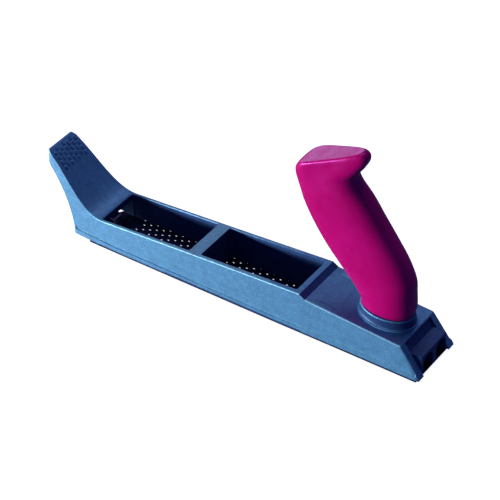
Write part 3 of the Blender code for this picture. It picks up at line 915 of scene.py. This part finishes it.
def punched_sheet():
    """The top skin of the sheet, trimmed to length, with its long edges turned up."""
    bm = bmesh.new()
    low, high = BLADE_X
    for i in range(-45, 46):
        for j in range(-22, 23):
            centre = Vector(CELL_ALONG) * i + Vector(CELL_ACROSS) * j
            if low - 4 < centre.x < high + 4 and abs(centre.y) < BLADE_BEND + 4:
                punch_cell(bm, centre)
    bmesh.ops.remove_doubles(bm, verts=bm.verts, dist=0.02)
    for point, outward in (((low, 0, 0), (-1, 0, 0)), ((high, 0, 0), (1, 0, 0)),
                           ((0, -BLADE_BEND, 0), (0, -1, 0)), ((0, BLADE_BEND, 0), (0, 1, 0))):
        bmesh.ops.bisect_plane(bm, geom=bm.verts[:] + bm.edges[:] + bm.faces[:], dist=0.001,
                               plane_co=point, plane_no=outward, clear_outer=True)
    edges = [e for e in bm.edges if e.is_boundary
             and all(abs(abs(v.co.y) - BLADE_BEND) < 0.01 for v in e.verts)]
    inside = BLADE_HALF_WIDTH - BLADE_THICKNESS
    for y, climb in ((inside - 0.3, 0.15), (inside - 0.05, 0.5), (inside, 1.0)):
        made = bmesh.ops.extrude_edge_only(bm, edges=edges)["geom"]
        for v in made:
            if isinstance(v, bmesh.types.BMVert):
                side = 1 if v.co.y > 0 else -1
                crest = sole_height(v.co.x) - GAP
                v.co.y, v.co.z = side * y, BLADE_TOP + (crest - BLADE_TOP) * climb
        edges = [e for e in made if isinstance(e, bmesh.types.BMEdge)]
    return bm


def thicken(bm, thickness):
    """Give an upward-facing skin its thickness, below it."""
    for face in bm.faces:
        face.normal_update()
    flipped = [f for f in bm.faces if f.normal.z < -0.01]
    bmesh.ops.reverse_faces(bm, faces=flipped)
    skin = mesh_object("skin", bm)
    modifier = skin.modifiers.new("thickness", "SOLIDIFY")
    modifier.thickness = thickness
    modifier.offset = -1.0
    solid = bmesh.new()
    solid.from_object(skin, bpy.context.evaluated_depsgraph_get())
    bpy.data.objects.remove(skin)
    return solid


def tab_outline(low, high, top, corner=1.6):
    """An upright tab in (across, up), its top corners rounded."""
    right = arc((high - corner, top - corner), corner, 0, 90, 6)
    left = arc((low + corner, top - corner), corner, 90, 180, 6)
    return [(low, TAB_FOOT), (high, TAB_FOOT)] + right + left


def make_blade():
    bm = thicken(punched_sheet(), BLADE_THICKNESS)
    bottom = BLADE_TOP - BLADE_THICKNESS
    front = BLADE_X[0] + 0.5
    half, wide = TONGUE_HALF_WIDTH, BLADE_HALF_WIDTH - 0.9
    tongue = [(front, -wide), (front, wide)]
    corner = TONGUE_CORNER
    for side, start in ((1, 90), (-1, 180)):
        tongue += arc((TONGUE_X + corner, side * (half - corner)), corner, start, start + 90, 6)
    plate(bm, tongue, (bottom + 0.02, BLADE_TOP + 0.02), 0.12, lambda u, v, w: (u, v, w))
    upright = lambda u, v, w: (w, u, v)
    plate(bm, tab_outline(-FRONT_TAB_HALF_WIDTH, FRONT_TAB_HALF_WIDTH, FRONT_TAB_TOP),
          FRONT_TAB_X, 0.15, upright)
    for low, high in (REAR_TAB, (-REAR_TAB[1], -REAR_TAB[0])):
        plate(bm, tab_outline(low, high, REAR_TAB_TOP), (REAR_TAB_X, REAR_TAB_X + 1.0), 0.15,
              upright)
    return finish_shading(to_object("rasp_blade", bm), 38.0)


# ---- fittings


def screw_matrix():
    """The tension screw's frame: its z is the tool's x, on the screw's axis."""
    return Matrix.Translation((0.0, 0.0, SCREW_Z)) @ Matrix.Rotation(pi / 2, 4, "Y")


def make_hook():
    """A strip bent over the blade's front tab, with a thick plate that the screw threads into."""
    front, back = HOOK_PLATE_X
    lip_front, lip_back = HOOK_LIP_X
    bottom, top = HOOK_Z
    bend = 1.6
    outline = [(front, bottom), (back, bottom), (back, HOOK_BRIDGE_BOTTOM - 0.5),
               (back + 0.5, HOOK_BRIDGE_BOTTOM), (lip_front - 0.5, HOOK_BRIDGE_BOTTOM),
               (lip_front, HOOK_BRIDGE_BOTTOM - 0.5), (lip_front, bottom), (lip_back, bottom)]
    outline += arc((lip_back - bend, top - bend), bend, 0, 90, 6)
    outline += arc((front + 1.0, top - 1.0), 1.0, 90, 180, 5)
    bm = bmesh.new()
    plate(bm, outline, (-HOOK_HALF_WIDTH, HOOK_HALF_WIDTH), 0.3, lambda u, v, w: (u, -w, v))
    hook = to_object("hook_strip", bm)
    bm = bmesh.new()
    bore = SCREW_RADIUS + 0.1
    spun(bm, [(front - PAST, bore), (back + PAST, bore)], screw_matrix(), 32)
    boolean(hook, bm, "DIFFERENCE")
    return finish_shading(hook)


def make_screw():
    low, high = SCREW_HEAD_X
    radius = SCREW_HEAD_RADIUS
    rows = [(low, radius - 1.1), (low + 0.08, radius - 0.6), (low + 0.28, radius - 0.22),
            (low + 0.6, radius), (high - 0.15, radius), (high, radius - 0.15), (high, SCREW_RADIUS)]
    rows += thread_rows(SCREW_RADIUS, SCREW_PITCH, high + 1.6, SCREW_END_X)
    bm = bmesh.new()
    spun(bm, rows, screw_matrix())
    screw = to_object("slotted_screw", bm)
    bm = bmesh.new()
    width, depth = SCREW_SLOT
    box(bm, (low - PAST, low + depth), width / 2, (SCREW_Z - 2 * radius, SCREW_Z + 2 * radius))
    boolean(screw, bm, "DIFFERENCE")
    return finish_shading(screw, 35.0)


def make_washer(name, matrix, hole, radius, low, high):
    """A flat washer with a rolled outer edge."""
    soft = min(0.25, (high - low) / 3)
    part = soft * 0.3
    rows = [(low, hole + 0.1), (low, radius - soft), (low + part, radius - part),
            (low + soft, radius), (high - soft, radius), (high - part, radius - part),
            (high, radius - soft), (high, hole + 0.1), (high - 0.1, hole), (low + 0.1, hole)]
    bm = bmesh.new()
    spun(bm, rows, matrix, 56, hollow=True)
    return finish_shading(to_object(name, bm))


def make_spring_washer():
    """One split turn of square wire, its two ends a little apart in height."""
    radius, low, high = SPRING_WASHER
    hole, soft, steps = WASHER_HOLE_RADIUS, 0.15, 60
    thick = 0.8 * (high - low)
    climb = high - low - thick
    square = [(hole + soft, 0.0), (radius - soft, 0.0), (radius, soft), (radius, thick - soft),
              (radius - soft, thick), (hole + soft, thick), (hole, thick - soft), (hole, soft)]
    rings = []
    for k in range(steps + 1):
        angle = radians(SPRING_GAP_ANGLE / 2 + (360 - SPRING_GAP_ANGLE) * k / steps)
        rise = low + climb * k / steps
        rings.append([seat_matrix() @ Vector((reach * cos(angle), reach * sin(angle), rise + up))
                      for reach, up in square])
    bm = bmesh.new()
    loft(bm, rings)
    return finish_shading(to_object("split_washer", bm))


def hexagon(limit):
    """Radius of a hexagon whose corners are cut back to a circle of radius limit."""
    flat = BOLT_HEAD_RADIUS * cos(pi / 6)

    def reach(angle):
        return min(flat / cos((angle + pi / 6) % (pi / 3) - pi / 6), limit)

    return reach


def make_bolt():
    low, high = BOLT_HEAD_Z
    radius = BOLT_HEAD_RADIUS
    rows = [(low + 0.25, 2.6), (low + 0.25, 3.2), (low, 3.5), (low, radius - 0.85),
            (low + 0.2, hexagon(radius - 0.5)), (low + 0.5, hexagon(radius - 0.15)),
            (low + 0.7, hexagon(radius)), (high - 0.3, hexagon(radius)),
            (high - 0.1, hexagon(radius - 0.2)), (high, radius - 0.85), (high, BOLT_RADIUS)]
    rows += thread_rows(BOLT_RADIUS, BOLT_PITCH, high + 6.0, BOLT_TOP)
    bm = bmesh.new()
    spun(bm, rows, seat_matrix(), 72)
    return finish_shading(to_object("hex_bolt", bm), 28.0)


def make_insert():
    """A knurled bush with a plain waist, its bore threaded for the bolt."""
    low, high = INSERT_Z

    def knurl(angle):
        return INSERT_RADIUS - 0.3 * abs(sin(angle * KNURLS / 2))

    waist = INSERT_RADIUS - 0.7
    middle = (low + high) / 2
    rows = [(low, INSERT_RADIUS - 0.9), (low + 0.5, knurl), (middle - 0.8, knurl),
            (middle - 0.6, waist), (middle + 0.6, waist), (middle + 0.8, knurl),
            (high - 0.5, knurl), (high, INSERT_RADIUS - 0.9)]
    thread = 0.15
    bore = [(z, lambda angle, z=z: WASHER_HOLE_RADIUS + thread * abs(sin(pi * z + angle / 2)))
            for z in np.linspace(high, low, 60)]
    bm = bmesh.new()
    spun(bm, rows + bore, seat_matrix(), 96, hollow=True)
    return finish_shading(to_object("knurled_insert", bm), 35.0)


# ---- materials


def feed(tree, node, inputs):
    """Set each input of a node to a constant, or link it to the socket given."""
    for key, value in inputs.items():
        if isinstance(value, bpy.types.NodeSocket):
            tree.links.new(value, node.inputs[key])
        else:
            node.inputs[key].default_value = value


def add_node(tree, kind, inputs, **settings):
    """Add a node with its settings and inputs, and return its outputs."""
    node = tree.nodes.new("ShaderNode" + kind)
    for name, value in settings.items():
        setattr(node, name, value)
    feed(tree, node, inputs)
    return node.outputs


def object_coords(tree):
    return add_node(tree, "TexCoord", {})["Object"]


def noise(tree, scale, detail=3.0, roughness=0.5, stretch=None):
    """Noise of 0 to 1 in the object's coordinates."""
    vector = object_coords(tree)
    if stretch:
        vector = add_node(tree, "Mapping", {"Vector": vector, "Scale": stretch})["Vector"]
    inputs = {"Vector": vector, "Scale": scale, "Detail": detail, "Roughness": roughness}
    return add_node(tree, "TexNoise", inputs)["Fac"]


def ramp(tree, value, stops):
    """Colours along a value, from (position, color) stops."""
    node = tree.nodes.new("ShaderNodeValToRGB")
    elements = node.color_ramp.elements
    while len(elements) < len(stops):
        elements.new(0.5)
    for element, (position, color) in zip(elements, stops):
        element.position = position
        element.color = (*color, 1.0)
    feed(tree, node, {"Fac": value})
    return node.outputs["Color"]


def remap(tree, value, before, after):
    """Map one span of a value onto another, clamped."""
    inputs = {"Value": value, "From Min": before[0], "From Max": before[1],
              "To Min": after[0], "To Max": after[1]}
    return add_node(tree, "MapRange", inputs)["Result"]


def bumps(tree, heights):
    """The shader's normal after chained bumps; each is (height, strength, distance in metres)."""
    chain = {}
    for height, strength, distance in heights:
        inputs = {"Strength": strength, "Distance": distance, "Height": height, **chain}
        chain = {"Normal": add_node(tree, "Bump", inputs)["Normal"]}
    return chain


def mix(tree, factor, a, b, blend="MIX"):
    """Mix two colours; the inputs of this node go by number."""
    return add_node(tree, "Mix", {0: factor, 6: a, 7: b}, data_type="RGBA", blend_type=blend)[2]


def shade(material, inputs):
    """Feed the material's shader."""
    feed(material.node_tree, material.node_tree.nodes["Principled BSDF"], inputs)


def new_material(name, color, roughness, metallic=0.0):
    """A plain material, and its node tree."""
    material = bpy.data.materials.new(name)
    material.use_nodes = True
    shade(material, {"Base Color": (*color, 1.0), "Roughness": roughness, "Metallic": metallic})
    return material, material.node_tree


def paint_material(name, tint):
    """Metallic paint: fine flakes, faint mottling, a slightly pebbled coat.
    tint scales its colour: darker for painted shade on the hidden faces, lighter for painted
    highlight on the edges."""
    base = (0.075, 0.25, 0.44)
    material, tree = new_material(name, base, 0.4, 0.3)
    flakes = add_node(tree, "TexVoronoi", {"Scale": 2600.0, "Vector": object_coords(tree)})
    sparkle = ramp(tree, flakes["Color"], [
        (0.0, (0.055, 0.18, 0.36)), (0.45, base), (0.8, (0.10, 0.30, 0.52)),
        (1.0, (0.2, 0.45, 0.68))])
    mottle = ramp(tree, noise(tree, 220.0, 4.0), [
        (0.3, tuple(0.87 * c for c in tint)), (0.7, tuple(1.09 * c for c in tint))])
    shade(material, {
        "Base Color": mix(tree, 1.0, sparkle, mottle, "MULTIPLY"),
        "Roughness": remap(tree, noise(tree, 900.0), NOISE_SPAN, (0.36, 0.5)),
        **bumps(tree, [(noise(tree, 1500.0, 2.0), 0.25, 0.00008),
                       (noise(tree, 260.0, 2.0), 0.15, 0.00015)])})
    return material


def grip_material():
    """Glossy crimson moulding: even colour, faint ripple and fine surface marks."""
    material, tree = new_material("crimson_grip", (0.42, 0.0, 0.1), 0.28)
    shade(material, {
        "Base Color": ramp(tree, noise(tree, 45.0), [
            (0.3, (0.40, 0.0, 0.115)), (0.7, (0.45, 0.001, 0.145))]),
        "Roughness": remap(tree, noise(tree, 160.0, 4.0), NOISE_SPAN, (0.26, 0.36)),
        "Specular IOR Level": 0.9,
        "Specular Tint": (0.85, 0.12, 1.0, 1.0),
        **bumps(tree, [(noise(tree, 120.0, 2.0), 0.08, 0.0002),
                       (noise(tree, 1800.0, 2.0), 0.04, 0.00005)])})
    return material


def metal_material(name, color, roughness, streak=(1.0, 8.0, 8.0), finish=None):
    """Bare metal with a grain along streak; finish(tree, color) gives the colour its last layer."""
    material, tree = new_material(name, color, roughness, 1.0)
    grain = noise(tree, 260.0, 5.0, 0.6, streak)
    dark = tuple(0.72 * c for c in color)
    light = tuple(min(1.0, 1.25 * c) for c in color)
    tone = ramp(tree, grain, [(0.3, dark), (0.7, light)])
    shade(material, {
        "Base Color": finish(tree, tone) if finish else tone,
        "Roughness": remap(tree, noise(tree, 700.0), NOISE_SPAN,
                           (roughness - 0.08, roughness + 0.14)),
        **bumps(tree, [(grain, 0.2, 0.00006)])})
    return material


def passivation(tree, steel):
    """A faint straw and blue tint over zinc plate."""
    tint = ramp(tree, noise(tree, 420.0, 2.0), [
        (0.3, (1.0, 0.94, 0.82)), (0.5, (1.0, 1.0, 1.0)), (0.7, (0.84, 0.92, 1.0))])
    return mix(tree, 1.0, steel, tint, "MULTIPLY")


def teeth_with_glints(tree, blued):
    """Blued steel with a painted highlight where the teeth are pressed down, standing for their
    glints, but not on the side flanges.
    """
    place = add_node(tree, "SeparateXYZ", {"Vector": object_coords(tree)})
    depth = remap(tree, place["Z"], (BLADE_TOP * 0.95 * MM, BLADE_TOP * 0.72 * MM), (0.0, 1.0))
    across = add_node(tree, "Math", {0: place["Y"]}, operation="ABSOLUTE")["Value"]
    edge = HOLE_FIELD[2]
    field = remap(tree, across, ((edge + 1.0) * MM, (edge + 0.6) * MM), (0.0, 1.0))
    pressed = add_node(tree, "Math", {0: depth, 1: field}, operation="MULTIPLY")["Value"]
    # painted highlight: a lighter blue on the pressed teeth stands for glints of light
    painted_glints = ramp(tree, noise(tree, 900.0, 4.0), [
        (0.35, (0.18, 0.24, 0.42)), (0.7, (0.5, 0.62, 0.85))])
    return mix(tree, pressed, blued, painted_glints)


# ---- stage


def make_camera():
    """A long lens that matches the photograph's view."""
    back = Vector(CAMERA_BACK).normalized()
    right = Vector((0.0, 0.0, 1.0)).cross(back).normalized()
    up = back.cross(right)
    roll = radians(CAMERA_ROLL)
    right, up = right * cos(roll) + up * sin(roll), up * cos(roll) - right * sin(roll)
    data = bpy.data.cameras.new("camera")
    data.lens = CAMERA_LENS
    data.sensor_width = CAMERA_SENSOR
    data.shift_x, data.shift_y = CAMERA_SHIFT
    camera = new_object("camera", data)
    turn = Matrix((right, up, back)).transposed().to_4x4()
    camera.matrix_world = Matrix.Translation(Vector(CAMERA_TARGET) + back * CAMERA_DISTANCE) @ turn
    bpy.context.scene.camera = camera


def make_light(name, towards, distance, size, power, color):
    """A softbox of (width, height) that shines at the tool from the direction towards."""
    data = bpy.data.lights.new(name, "AREA")
    data.shape = "RECTANGLE"
    data.size, data.size_y = size
    data.energy = power
    data.color = color
    light = new_object(name, data)
    direction = Vector(towards).normalized()
    light.location = Vector(LIGHT_TARGET) + direction * distance
    light.rotation_mode = "QUATERNION"
    light.rotation_quaternion = direction.to_track_quat("Z", "Y")


def make_stage():
    """The pale floor, the sky that the camera sees white, and the softboxes."""
    bm = bmesh.new()
    bmesh.ops.create_grid(bm, x_segments=8, y_segments=8, size=FLOOR_REACH)
    floor = mesh_object("floor", bm)
    floor.location.z = FLOOR_Z
    material = new_material("pale_floor", (0.9, 0.9, 0.9), 0.9)[0]
    shade(material, {"Emission Color": (1.0, 1.0, 1.0, 1.0), "Emission Strength": FLOOR_GLOW,
                     "Specular IOR Level": 0.0})
    floor.data.materials.append(material)
    floor.visible_diffuse = False
    floor.visible_glossy = False
    world = bpy.data.worlds.new("studio")
    bpy.context.scene.world = world
    world.use_nodes = True
    tree = world.node_tree
    seen = add_node(tree, "LightPath", {})["Is Camera Ray"]
    feed(tree, tree.nodes["Background"], {
        "Color": ramp(tree, seen, [(0.0, SKY_COLOR), (1.0, (1.0, 1.0, 1.0))]),
        "Strength": remap(tree, seen, (0.0, 1.0), (SKY_FILL, 1.0))})
    for light in LIGHTS:
        make_light(*light)
    bpy.context.scene.view_settings.view_transform = "Standard"


def add_piece(piece, materials, body, node):
    """Give a piece its finish and let it stand for a CAD node."""
    piece.data.materials.clear()
    for material in materials:
        piece.data.materials.append(material)
    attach(piece, body)
    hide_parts(node)


def main():
    """Build the stage, then each piece with its finish."""
    make_camera()
    make_stage()
    zinc = metal_material("zinc_steel", (0.5, 0.53, 0.58), 0.3, finish=passivation)
    body = make_body()
    # The second paint is painted shade for faces where shadow falls; the third is painted highlight
    # for the lit edges and rim tops
    paints = [paint_material("steel_blue_paint", (1.0, 1.0, 1.0)),
              paint_material("shade_painted_blue_paint", (0.2, 0.23, 0.42)),
              paint_material("highlight_painted_blue_paint", (1.8, 1.5, 1.15))]
    add_piece(body, paints, "body", "body")
    mark_paints(body)
    add_piece(make_handle(), [grip_material()], "handle", "handle_grip")
    blued = metal_material("blued_steel", (0.016, 0.027, 0.1), 0.34, finish=teeth_with_glints)
    add_piece(make_blade(), [blued], "blade", "blade")
    for piece, carrier, node in (
            (make_hook(), "tension_hook", "tension_hook"),
            (make_screw(), "tension_screw", "tension_screw"),
            (make_washer("toe_washer", screw_matrix(), *SCREW_WASHER), "body", "screw_washer"),
            (make_washer("bolt_washer", seat_matrix(), WASHER_HOLE_RADIUS, *FLAT_WASHER),
             "bolt_washers", "handle_flat_washer"),
            (make_spring_washer(), "bolt_washers", "handle_spring_washer"),
            (make_bolt(), "handle_bolt", "handle_bolt")):
        add_piece(piece, [zinc], carrier, node)
    brass = metal_material("turned_brass", (0.62, 0.42, 0.14), 0.28, (1.0, 1.0, 9.0))
    add_piece(make_insert(), [brass], "handle", "handle_insert")


main()
